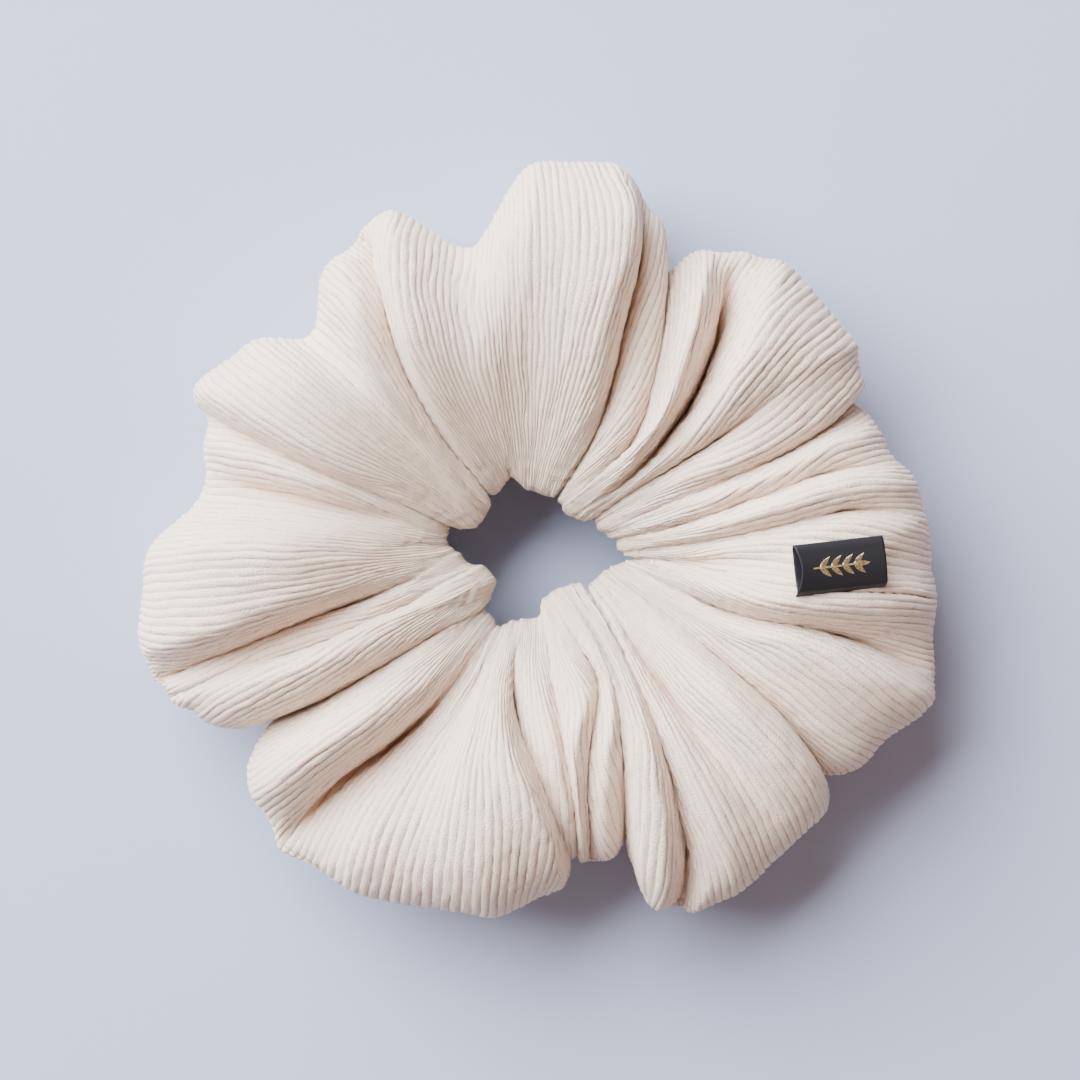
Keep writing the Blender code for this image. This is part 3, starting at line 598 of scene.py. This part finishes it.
def add_faces(name, points, faces, flat=None):
    """A smooth mesh object from points in millimetres and an array of quads."""
    mesh = bpy.data.meshes.new(name)
    mesh.vertices.add(len(points))
    mesh.vertices.foreach_set("co", (np.asarray(points) * MM).astype(np.float32).ravel())
    mesh.loops.add(faces.size)
    mesh.loops.foreach_set("vertex_index", faces.astype(np.int32).ravel())
    mesh.polygons.add(len(faces))
    mesh.polygons.foreach_set("loop_start", np.arange(0, faces.size, 4, dtype=np.int32))
    if flat is not None:
        corners = flat[faces.ravel()].astype(np.float32)
        mesh.uv_layers.new(name="flat").data.foreach_set("uv", corners.ravel())
    mesh.update(calc_edges=True)
    mesh.validate()
    mesh.shade_smooth()
    obj = bpy.data.objects.new(name, mesh)
    bpy.context.scene.collection.objects.link(obj)
    return obj


def stretches(piece):
    """Bakes the piece's placement into its points."""
    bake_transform(piece)


def add_cover(tube):
    """Adds the velvet, and returns the strip it was made from, as far as its stitch lines."""
    points, normals, flat = ribbed_strip(tube)
    deep = (hollowness(points) * normals).sum(2)
    lengthwise = (points, normals, flat)
    points, normals, flat = turned_in(*lengthwise, 0, LENGTHWISE_ALLOWANCE, 1)
    deep = np.pad(deep, len(ALLOWANCE_STEPS), "edge")
    points, normals, flat = turned_in(points, normals, flat, 1, CLOSING_ALLOWANCE, RIB_PITCH)
    points[..., 2] = points[..., 2].clip(GROUND_GAP / 2)
    cover = add_grid("velvet_cover", points, flat)
    # The depth below the smoothed cloth, kept for the velvet's painted warm shade in its creases.
    shade = cover.data.attributes.new("hollow", "FLOAT", "POINT")
    shade.data.foreach_set("value", deep.astype(np.float32).ravel())
    cover.data.materials.append(velvet_material())
    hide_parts("fabric_cover")
    stretches(cover)
    return lengthwise


# ---- Threads and elastic -----------------------------------------------------
THREAD_RADIUS = 0.2
ELASTIC_THREAD_RADIUS = 0.25
THREAD_TAPER = 0.12             # how blunt a thread's ends are, in radians: 0 is a point
SLANTWISE = (0.13, 0.21, 0.97)  # what the sides of a thread are measured from


def add_tubes(name, runs, radius):
    """Round threads of six sides: one closed tube along each run of points in millimetres."""
    sides = 6
    points, faces = [], []
    for run in runs:
        run = np.asarray(run, float)
        heading = unit(np.gradient(run, axis=0))
        first = unit(np.cross(heading, SLANTWISE))
        second = np.cross(heading, first)
        start = len(points)
        swell = radius * np.sqrt(np.sin(np.linspace(THREAD_TAPER, pi - THREAD_TAPER, len(run))))
        for k, at in enumerate(run):
            for side in range(sides):
                turn = 2 * pi * side / sides
                points.append(at + swell[k] * (cos(turn) * first[k] + sin(turn) * second[k]))
        for k in range(len(run) - 1):
            for side in range(sides):
                a, b = start + k * sides + side, start + k * sides + (side + 1) % sides
                faces.append((a, b, b + sides, a + sides))
        for k in (0, len(run) - 1):
            ring = [start + k * sides + side for side in range(sides)]
            ends = [(ring[0], ring[1], ring[2], ring[3]), (ring[0], ring[3], ring[4], ring[5])]
            faces += [tuple(reversed(end)) for end in ends] if k == 0 else ends
    return add_faces(name, points, np.array(faces))


def threaded(piece, node):
    piece.data.materials.append(thread_material())
    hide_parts(node)
    stretches(piece)


STITCH_COLUMNS = 7              # of the ribbed strip, to one lengthwise stitch and its gap
STITCH_DEPTH = 1.6              # inwards from the velvet's edge
STITCH_ASIDE = 0.8              # from the seam's middle, on the outside of the two allowances
CLOSING_STITCH = 1.6            # rows of the ribbed strip, to one closing stitch and its gap
CLOSING_FILL = 0.72             # the stitch's share of those rows
CLOSING_SLANT = (0.35, 0.65)    # where it starts and ends, as shares of the seam's gap
CLOSING_LIFT = 0.05


def add_lengthwise_stitches(lengthwise):
    """The two threads of the lockstitch, one on each side of the turned-in edges."""
    points = lengthwise[0]
    nodes = ("lengthwise_seam_needle_thread", 0, 2), ("lengthwise_seam_bobbin_thread", -1, -3)
    for node, edge, inner in nodes:
        back = unit(points[inner] - points[edge])
        inside = unit(points.mean(axis=0) - points[edge])
        line = points[edge] + STITCH_DEPTH * inside + STITCH_ASIDE * back
        starts = range(0, len(line) - STITCH_COLUMNS, STITCH_COLUMNS)
        runs = [line[start:start + STITCH_COLUMNS - 1] for start in starts]
        threaded(add_tubes(node.replace("_thread", "_stitches"), runs, THREAD_RADIUS), node)


def add_closing_stitches(lengthwise):
    """Stitches that cross the closing seam at a slant, sunk between its two folded ends."""
    points, normals, _ = lengthwise
    rows = np.arange(len(points))
    runs = []
    for start in np.arange(3, len(points) - 4, CLOSING_STITCH):
        at = start + np.linspace(0, CLOSING_FILL * CLOSING_STITCH, 5)
        slant = np.linspace(*CLOSING_SLANT, 5)[:, None]
        left, right, up = (
            np.column_stack([np.interp(at, rows, grid[:, k]) for k in range(3)])
            for grid in (points[:, 0], points[:, -1], normals[:, 0])
        )
        runs.append(left * slant + right * (1 - slant) + CLOSING_LIFT * up)
    threaded(add_tubes("closing_seam_stitches", runs, THREAD_RADIUS), "closing_seam_thread")


ELASTIC_RADIUS = 23.5
ELASTIC_SIZE = (1.2, 8.0)       # thick and wide
ELASTIC_OVERLAP = 12.0
ELASTIC_GAP = 0.3               # between the two overlapped ends
ELASTIC_CLIMB = 0.8             # share of the overlap in which one end climbs over the other
ELASTIC_STEPS = 420
ELASTIC_CORDS = 9               # rubber cords across the braid
CORD_RELIEF = 0.14              # of those cords, as a share of the thickness
BRAID_RELIEF = 0.06             # of the yarns that cross them
BRAID_PITCH = (1.6, 0.9)        # of those yarns, along and across
ELASTIC_STITCH_HEIGHTS = (-2.7, -0.9, 0.9, 2.7)
elastic_low, elastic_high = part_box("elastic_band")
ELASTIC_CENTRE = np.array([
    elastic_high[0] / MM - ELASTIC_RADIUS - ELASTIC_SIZE[0] / 2,
    (elastic_low[1] + elastic_high[1]) / 2 / MM,
    (elastic_low[2] + elastic_high[2]) / 2 / MM,
])


def add_elastic():
    """A braided band, once round and then outside its own first end, where the two are sewn."""
    lap = ELASTIC_OVERLAP / ELASTIC_RADIUS
    turn = np.linspace(0, 2 * pi + lap, ELASTIC_STEPS)
    climb = ((turn - (2 * pi - lap)) / (ELASTIC_CLIMB * lap)).clip(0, 1)
    radius = ELASTIC_RADIUS + (ELASTIC_SIZE[0] + ELASTIC_GAP) * climb * climb * (3 - 2 * climb)
    angle = pi - lap / 2 + turn
    outward = np.column_stack([np.cos(angle), np.sin(angle), 0 * angle])
    side = np.linspace(0, 2 * pi, 60, endpoint=False)
    face = np.sign(np.cos(side))
    thick = face * np.abs(np.cos(side)) ** 0.5 * ELASTIC_SIZE[0] / 2
    wide = np.sin(side) * ELASTIC_SIZE[1] / 2
    cords = np.cos(2 * pi * ELASTIC_CORDS * (wide / ELASTIC_SIZE[1] + 0.5))
    yarns = turn[:, None] * ELASTIC_RADIUS / BRAID_PITCH[0] + face * wide / BRAID_PITCH[1]
    thick = thick[None] * (1 - CORD_RELIEF * cords[None] + BRAID_RELIEF * np.cos(2 * pi * yarns))
    points = ELASTIC_CENTRE + outward[:, None] * (radius[:, None] + thick)[..., None]
    points = points + wide[None, :, None] * np.array([0, 0, 1])
    points = np.concatenate([points, points[:, :1]], axis=1)
    band = add_grid("braided_elastic", points)
    band.data.materials.append(elastic_material())
    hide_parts("elastic_band")
    stretches(band)


def add_elastic_stitches():
    """The running stitch through the elastic's two overlapping ends."""
    inside, outside = ELASTIC_RADIUS - 1.0, ELASTIC_RADIUS + 2 * ELASTIC_SIZE[0] + 0.7
    path = []
    for k, height in enumerate(ELASTIC_STITCH_HEIGHTS):
        for reach in (inside, outside) if k % 2 == 0 else (outside, inside):
            path.append(ELASTIC_CENTRE + np.array([-reach, 0, height]))
    run = smooth_curve(path, np.linspace(0, 1, 60))
    threaded(add_tubes("elastic_join_stitches", [run], ELASTIC_THREAD_RADIUS), "elastic_join_thread")


# ---- The label ---------------------------------------------------------------
# The ribbon from its lower end in the seam, over its fold, and back down: millimetres up the label
# from the sewn edge, and out of its face.
RIBBON_PROFILE = [
    (-0.7, -4.2), (-0.45, -1.6), (0.2, -0.35), (3, -0.5), (7, -0.4), (8.9, -0.2), (9.4, 0.25),
    (8.9, 0.7), (7, 1.15), (4.5, 1.3), (2, 0.85), (0.35, 0.1), (-0.3, -1.5), (-0.6, -4.2),
]
RIBBON_LENGTH = 28.5
GAPE = 0.95                     # how far the upper layer's open end stands back from the lower's,
GAPE_REACH = 2.2                # and how far along the label that fades
BULGE = (0.8, 0.45)             # the upper layer's rise, and what is added at its open left end,
BULGE_REACH = 5.0               # and how far along the label that fades
FACE_SHARES = (0.5, 0.93)       # the part of the ribbon that is the label's upper face
FOIL_LIFT = 0.015               # of the print's edges over the ribbon,
FOIL_CROWN = 0.07               # and of its middle over its edges
SPRIG_LENGTH = 11.5
SPRIG_LEAVES = 4                # on each side of the stem
LEAF_SIZE = (2.9, 1.0)
LEAF_ANGLE = radians(42)
STEM_WIDTH = 0.4


def label_point(along, up, out):
    """Points of the label, in millimetres from the middle of its sewn edge."""
    return (
        LABEL_MIDDLE + np.asarray(along)[..., None] * LABEL_ALONG
        + np.asarray(up)[..., None] * LABEL_UP + np.asarray(out)[..., None] * LABEL_OUT
    )


def label_bulge(along):
    """How far the upper layer stands out, as a share of its profile: most at the open left end."""
    return BULGE[0] + BULGE[1] * np.exp(-(np.asarray(along) + LABEL_WIDTH / 2) / BULGE_REACH)


def add_label():
    share = np.linspace(0, 1, 73)
    profile = smooth_curve(RIBBON_PROFILE, share)
    along = np.linspace(-LABEL_WIDTH / 2, LABEL_WIDTH / 2, 41)[:, None]
    up, out = profile[None, :, 0], profile[None, :, 1]
    upper = (share[None] > 0.5) & (up > 0)
    fades = np.exp(-(along + LABEL_WIDTH / 2) / GAPE_REACH)
    stands_back = GAPE * np.sin(pi * (up / LABEL_HEIGHT).clip(0, 1)) * fades
    bulge = np.where(upper & (out > 0), label_bulge(along), 1)
    points = label_point(along + np.where(upper, stands_back, 0), up + 0 * along, out * bulge)
    flat = np.stack(np.broadcast_arrays(along, RIBBON_LENGTH * share[None]), -1)
    ribbon = add_grid("folded_label", points, flat)
    thick = ribbon.modifiers.new("thickness", "SOLIDIFY")
    thick.thickness = RIBBON_THICKNESS * MM
    thick.offset = 0
    ribbon.data.materials.append(satin_material())
    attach(ribbon, "label")
    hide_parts("label_ribbon")


def on_label(along, up, lift):
    """Points on the label's upper face."""
    upper = smooth_curve(RIBBON_PROFILE, np.linspace(*FACE_SHARES, 60))[::-1]
    out = np.interp(up, upper[:, 0], upper[:, 1]) * label_bulge(along)
    return label_point(along, up, out + RIBBON_THICKNESS / 2 + lift)


def foil_patch(start, heading, length, width, sharp):
    """One printed shape on the label, a crowned grid: a leaf if sharp, or else a stroke of the stem."""
    t = np.linspace(0, 1, 13)[:, None]
    side = np.array([-1, -0.5, 0, 0.5, 1])[None]
    half = width / 2 * (np.sin(pi * t ** 0.75) if sharp else 0.45 + 0.55 * np.sin(pi * (0.15 + 0.75 * t)))
    x, y = length * t + 0 * side, half.clip(0.012) * side
    along = start[0] + x * cos(heading) - y * sin(heading)
    up = start[1] + x * sin(heading) + y * cos(heading)
    return on_label(along, up, FOIL_LIFT + FOIL_CROWN * (1 - side * side) + 0 * t)


def add_sprig():
    middle = LABEL_HEIGHT / 2 - 0.1
    left = -SPRIG_LENGTH / 2
    pitch = SPRIG_LENGTH / (SPRIG_LEAVES + 1)
    patches = [foil_patch((left, middle), 0, SPRIG_LENGTH - 0.8 * LEAF_SIZE[0], STEM_WIDTH, False)]
    for k in range(SPRIG_LEAVES):
        root = left + pitch * (k + 0.6)
        for sign in (-1, 1):
            patches.append(foil_patch((root, middle), sign * LEAF_ANGLE, *LEAF_SIZE, True))
    patches.append(foil_patch((left + SPRIG_LENGTH - LEAF_SIZE[0], middle), 0, *LEAF_SIZE, True))
    rows, columns = patches[0].shape[:2]
    faces = [quads(rows, columns) + k * rows * columns for k in range(len(patches))]
    points = np.concatenate([patch.reshape(-1, 3) for patch in patches])
    sprig = add_faces("gold_sprig", points, np.concatenate(faces))
    sprig.data.materials.append(foil_material())
    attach(sprig, "label")
    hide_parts("label_foil_print")


# ---- Materials ---------------------------------------------------------------
CREAM = (0.98, 0.79, 0.66)
FADED = (0.95, 0.77, 0.64)      # the velvet's broad lighter patches
# Painted shade: the dark colour laid into the narrow groove between two ribs.
GROOVE_SHADE = (0.50, 0.33, 0.25)     # between two ribs
# Painted warm shade, mixed in deep between two folds.
HOLLOW_SHADE = (0.74, 0.34, 0.18)     # deep between two folds


class Shading:
    """A material's node tree, with short calls for the nodes that these materials share."""

    def __init__(self, name, colour, roughness, metallic=0.0):
        self.material = bpy.data.materials.new(name)
        self.material.use_nodes = True
        self.tree = self.material.node_tree
        self.shader = self.tree.nodes["Principled BSDF"]
        self.set("Base Color", (*colour, 1))
        self.set("Roughness", roughness)
        self.set("Metallic", metallic)

    def set(self, socket, value):
        self.shader.inputs[socket].default_value = value

    def join(self, output, node, socket):
        self.tree.links.new(output, node.inputs[socket])

    def node(self, kind, inputs=(), **settings):
        """A node with its settings, and its inputs as (socket, value or output) pairs."""
        made = self.tree.nodes.new(kind)
        for key, value in settings.items():
            setattr(made, key, value)
        for socket, value in inputs:
            if isinstance(value, bpy.types.NodeSocket):
                self.join(value, made, socket)
            else:
                made.inputs[socket].default_value = value
        return made

    def math(self, operation, first, second=0.0):
        return self.node("ShaderNodeMath", [(0, first), (1, second)], operation=operation).outputs[0]

    def noise(self, vector, scale, detail=2.0):
        made = self.node("ShaderNodeTexNoise", [("Vector", vector), ("Scale", scale), ("Detail", detail)])
        return made.outputs["Fac"]

    def noise_in_space(self, scale):
        return self.noise(self.node("ShaderNodeTexCoord").outputs["Object"], scale, 3)

    def ramp(self, value, low, high, to_low=0.0, to_high=1.0):
        """A value from low to high, eased into one from to_low to to_high."""
        sockets = ("Value", "From Min", "From Max", "To Min", "To Max")
        inputs = list(zip(sockets, (value, low, high, to_low, to_high)))
        return self.node("ShaderNodeMapRange", inputs, interpolation_type="SMOOTHSTEP").outputs[0]

    def mix(self, share, first, second):
        """Two colours, each a value or an output, mixed by an output."""
        inputs = [(0, share)]
        for socket, colour in ((6, first), (7, second)):    # the node's colour sockets
            inputs.append((socket, colour if isinstance(colour, bpy.types.NodeSocket) else (*colour, 1)))
        return self.node("ShaderNodeMix", inputs, data_type="RGBA").outputs[2]

    def bump(self, height, distance, strength=1.0):
        inputs = [("Height", height), ("Distance", distance), ("Strength", strength)]
        self.join(self.node("ShaderNodeBump", inputs).outputs[0], self.shader, "Normal")

    def flat_places(self, along, across):
        """The piece's own flat pattern in millimetres, from its UVs."""
        uv = self.node("ShaderNodeUVMap", uv_map="flat").outputs[0]
        scaled = self.node("ShaderNodeVectorMath", [(0, uv), (1, (along, across, 0))], operation="MULTIPLY")
        return scaled.outputs[0]


def velvet_material():
    """Cream rib velvet: soft granular pile, narrow grooves with painted shade, painted warm shade deep in
    the creases between folds, and light pile where it catches.
    """
    velvet = Shading("rib_velvet", CREAM, 0.85)
    uv = velvet.node("ShaderNodeUVMap", uv_map="flat").outputs[0]
    ribs = velvet.node("ShaderNodeSeparateXYZ", [(0, uv)]).outputs[0]
    flat = velvet.flat_places(RIB_PITCH, 1)
    grain = velvet.noise(flat, 2.6, 4)
    patches = velvet.noise(flat, 0.06, 2)
    broken = velvet.noise(flat, 0.7, 2)
    # Painted shade in each rib's narrow groove, broken up at random along it.
    from_groove = velvet.math("PINGPONG", ribs, 0.5)
    groove = velvet.ramp(from_groove, 0.02, 0.13, 1, 0)
    groove = velvet.math("MULTIPLY", groove, velvet.ramp(broken, 0.25, 0.7, 0.3, 0.85))
    darker, lighter = (tuple(min(1, share * part) for part in CREAM) for share in (0.84, 1.06))
    pile = velvet.mix(velvet.ramp(grain, 0.3, 0.75), darker, lighter)
    pile = velvet.mix(velvet.ramp(patches, 0.35, 0.7, 0, 0.3), pile, FADED)
    # Painted shade: warm dark colour, the more the deeper the cloth lies below its smoothed shape.
    hollow = velvet.node("ShaderNodeAttribute", attribute_name="hollow").outputs["Fac"]
    pile = velvet.mix(velvet.ramp(hollow, 0.2, 3.6, 0, 0.85), pile, HOLLOW_SHADE)
    velvet.join(velvet.mix(groove, pile, GROOVE_SHADE), velvet.shader, "Base Color")
    velvet.bump(grain, 0.0004, 0.9)
    velvet.set("Sheen Weight", 0.3)
    velvet.set("Sheen Roughness", 0.4)
    velvet.set("Sheen Tint", (0.95, 0.97, 1, 1))
    velvet.set("Subsurface Weight", 0.12)
    velvet.set("Subsurface Radius", (1.0, 0.5, 0.3))
    velvet.set("Subsurface Scale", 0.002)
    return velvet.material


def thread_material():
    thread = Shading("sewing_thread", (0.80, 0.70, 0.62), 0.6)
    fibre = thread.noise_in_space(3000)
    thread.join(thread.mix(fibre, (0.70, 0.60, 0.52), (0.86, 0.77, 0.69)), thread.shader, "Base Color")
    thread.bump(fibre, 0.00005)
    thread.set("Sheen Weight", 0.3)
    return thread.material


def elastic_material():
    elastic = Shading("braided_elastic", (0.88, 0.86, 0.82), 0.75)
    yarn = elastic.noise_in_space(1800)
    elastic.join(elastic.mix(yarn, (0.80, 0.78, 0.74), (0.92, 0.90, 0.87)), elastic.shader, "Base Color")
    elastic.bump(yarn, 0.0001)
    elastic.set("Sheen Weight", 0.2)
    return elastic.material


def satin_material():
    """Black satin: long floats across the ribbon that catch the light, and a faint weave in its colour."""
    satin = Shading("black_satin", (0.012, 0.012, 0.015), 0.36)
    floats = satin.noise(satin.flat_places(1.2, 14), 1, 3)
    weave = satin.noise(satin.flat_places(9, 9), 1, 2)
    satin.join(satin.mix(weave, (0.008, 0.008, 0.010), (0.024, 0.024, 0.029)), satin.shader, "Base Color")
    satin.join(satin.ramp(floats, 0.3, 0.7, 0.38, 0.56), satin.shader, "Roughness")
    satin.bump(floats, 0.00004, 0.6)
    satin.set("Specular IOR Level", 0.15)
    satin.set("Sheen Weight", 0.02)
    return satin.material


def foil_material():
    foil = Shading("gold_foil", (0.86, 0.70, 0.40), 0.26, 1.0)
    pressed = foil.noise_in_space(2500)
    foil.join(foil.mix(pressed, (0.78, 0.60, 0.30), (0.95, 0.82, 0.54)), foil.shader, "Base Color")
    foil.join(foil.ramp(pressed, 0.3, 0.7, 0.2, 0.42), foil.shader, "Roughness")
    foil.bump(pressed, 0.00002)
    return foil.material


def floor_material():
    floor = Shading("pale_floor", (0.41, 0.465, 0.64), 0.7)
    cloud = floor.noise_in_space(9)
    floor.join(floor.mix(cloud, (0.40, 0.455, 0.63), (0.42, 0.475, 0.655)), floor.shader, "Base Color")
    return floor.material


# ---- The studio --------------------------------------------------------------
CAMERA_HEIGHT = 560.0
CAMERA_ASIDE = 0.4              # to the right and up, as in the picture
PICTURE_WIDTH = 216.0           # that the camera sees
PICTURE_HEIGHT = 20.0           # at this height over the ground
SENSOR_WIDTH = 36.0


def add_lamp(name, place, size, energy, colour):
    light = bpy.data.lights.new(name, "AREA")
    light.size = size
    light.energy = energy
    light.color = colour
    lamp = bpy.data.objects.new(name, light)
    lamp.location = place
    lamp.rotation_euler = (-Vector(place)).to_track_quat("-Z", "Y").to_euler()
    bpy.context.scene.collection.objects.link(lamp)


def add_studio():
    bpy.ops.mesh.primitive_plane_add(size=4)
    floor = bpy.context.object
    floor.name = "floor"
    floor.data.materials.append(floor_material())
    add_lamp("window", (-1.05, 1.0, 1.0), 1.9, 205, (0.97, 0.985, 1))
    add_lamp("bounce", (0.9, -0.9, 0.6), 0.9, 2.5, (1, 0.72, 0.55))
    world = bpy.data.worlds.new("world")
    bpy.context.scene.world = world
    world.use_nodes = True
    sky = world.node_tree.nodes["Background"]
    sky.inputs["Color"].default_value = (1, 0.72, 0.62, 1)
    sky.inputs["Strength"].default_value = 0.33
    camera = bpy.data.cameras.new("camera")
    camera.sensor_width = SENSOR_WIDTH
    camera.lens = SENSOR_WIDTH * (CAMERA_HEIGHT - PICTURE_HEIGHT) / PICTURE_WIDTH
    view = bpy.data.objects.new("camera", camera)
    view.location = (CAMERA_ASIDE * MM, CAMERA_ASIDE * MM, CAMERA_HEIGHT * MM)
    bpy.context.scene.collection.objects.link(view)
    bpy.context.scene.camera = view


tube = laid_cloth(SIM_ROWS, SIM_COLUMNS)
tube = settled(tube)
lengthwise = add_cover(tube)
add_lengthwise_stitches(lengthwise)
add_closing_stitches(lengthwise)
add_elastic()
add_elastic_stitches()
add_label()
add_sprig()
add_studio()

bpy.context.view_layer.update()
